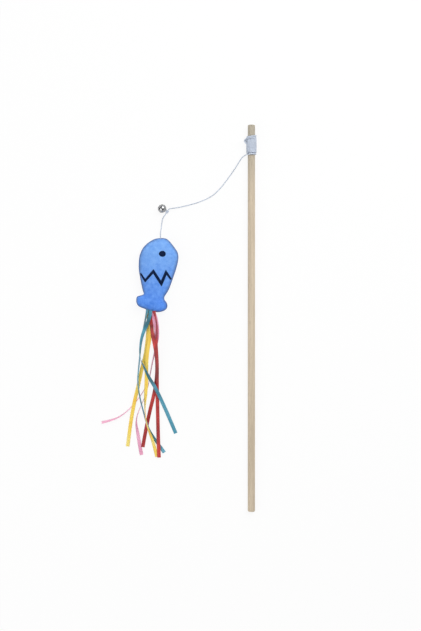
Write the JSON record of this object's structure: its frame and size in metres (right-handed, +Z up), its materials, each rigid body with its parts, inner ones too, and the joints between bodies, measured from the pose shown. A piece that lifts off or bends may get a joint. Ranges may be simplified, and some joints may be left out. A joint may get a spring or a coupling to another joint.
{
  "type": "cat teaser wand",
  "caption": "Wooden stick with a cord wound round its tip, a small bell tied into the cord and a stuffed fish with satin ribbon tails on its end, for play with a cat.",
  "frame": {"origin": "on the surface that the wand lies on, in the middle of the stick and the fish", "axes": "+Y along the stick from its butt to its tip, +X from the fish to the stick, +Z up from the surface"},
  "size_m": [0.1701, 0.425, 0.018],
  "materials": {
    "wood": "sanded, uncoated",
    "cord": "braided elastic",
    "bell_metal": "bright plated",
    "pellet_steel": "plain",
    "fish_cloth": "short plush",
    "stuffing": "loose fibre",
    "navy_thread": "satin stitch",
    "sewing_thread": "sewing thread",
    "teal_satin": "satin",
    "yellow_satin": "satin",
    "red_satin": "satin",
    "pink_satin": "satin"
  },
  "bodies": {
    "wand": {"stick": "wood", "winding_core": "cord", "cord_winding": "cord", "winding_tuck": "cord"},
    "upper_line": {"upper_cord": "cord", "bell_knot": "cord"},
    "bell": {"bell_cap": "bell_metal", "bell_cup": "bell_metal", "bell_loop": "bell_metal"},
    "pellet": {"bell_pellet": "pellet_steel"},
    "lower_line": {"lower_cord": "cord"},
    "fish": {"front_panel": "fish_cloth", "back_panel": "fish_cloth", "body_stuffing": "stuffing", "tail_stuffing": "stuffing", "front_eye": "navy_thread", "back_eye": "navy_thread", "front_zigzag": "navy_thread", "back_zigzag": "navy_thread", "anchor_knot": "cord", "ribbon_stitch": "sewing_thread"},
    "teal_ribbon_right": {"teal_ribbon_right": "teal_satin"},
    "teal_ribbon_low": {"teal_ribbon_low": "teal_satin"},
    "yellow_ribbon_left": {"yellow_ribbon_left": "yellow_satin"},
    "yellow_ribbon_right": {"yellow_ribbon_right": "yellow_satin"},
    "red_ribbon_left": {"red_ribbon_left": "red_satin"},
    "red_ribbon_right": {"red_ribbon_right": "red_satin"},
    "pink_ribbon_left": {"pink_ribbon_left": "pink_satin"},
    "pink_ribbon_low": {"pink_ribbon_low": "pink_satin"}
  },
  "joints": [
    {"name": "lure_swing", "type": "hinge", "parent": "wand", "child": "upper_line", "pos_m": [0.05546, 0.17981, 0.00904], "axis": [0, 0, 1], "range_deg": [-60, 2]},
    {"name": "bell_swing", "type": "hinge", "parent": "upper_line", "child": "bell", "pos_m": [-0.03352, 0.11803, 0.0048], "axis": [0, 0, 1], "range_deg": [-40, 12]},
    {"name": "pellet_rattle", "type": "slide", "parent": "bell", "child": "pellet", "axis": [0, 0, 1], "range_m": [0, 0.0055]},
    {"name": "drop_swing", "type": "hinge", "parent": "upper_line", "child": "lower_line", "pos_m": [-0.03414, 0.11459, 0.0048], "axis": [0, 0, 1], "range_deg": [-35, 4]},
    {"name": "fish_swing", "type": "hinge", "parent": "lower_line", "child": "fish", "pos_m": [-0.0396, 0.0889, 0.009], "axis": [0, 0, 1], "range_deg": [-45, 6]},
    {"name": "teal_right_swing", "type": "hinge", "parent": "fish", "child": "teal_ribbon_right", "pos_m": [-0.04952, 0.01179, 0.009], "axis": [0, 0, 1], "range_deg": [-25, 2]},
    {"name": "teal_low_swing", "type": "hinge", "parent": "fish", "child": "teal_ribbon_low", "pos_m": [-0.04952, 0.01179, 0.009], "axis": [0, 0, 1], "range_deg": [-12, 12]},
    {"name": "yellow_left_swing", "type": "hinge", "parent": "fish", "child": "yellow_ribbon_left", "pos_m": [-0.04952, 0.01179, 0.009], "axis": [0, 0, 1], "range_deg": [-12, 12]},
    {"name": "yellow_right_swing", "type": "hinge", "parent": "fish", "child": "yellow_ribbon_right", "pos_m": [-0.04952, 0.01179, 0.009], "axis": [0, 0, 1], "range_deg": [-12, 12]},
    {"name": "red_left_swing", "type": "hinge", "parent": "fish", "child": "red_ribbon_left", "pos_m": [-0.04952, 0.01179, 0.009], "axis": [0, 0, 1], "range_deg": [-12, 12]},
    {"name": "red_right_swing", "type": "hinge", "parent": "fish", "child": "red_ribbon_right", "pos_m": [-0.04952, 0.01179, 0.009], "axis": [0, 0, 1], "range_deg": [-12, 12]},
    {"name": "pink_left_swing", "type": "hinge", "parent": "fish", "child": "pink_ribbon_left", "pos_m": [-0.04952, 0.01179, 0.009], "axis": [0, 0, 1], "range_deg": [-12, 12]},
    {"name": "pink_low_swing", "type": "hinge", "parent": "fish", "child": "pink_ribbon_low", "pos_m": [-0.04952, 0.01179, 0.009], "axis": [0, 0, 1], "range_deg": [-12, 12]}
  ]
}
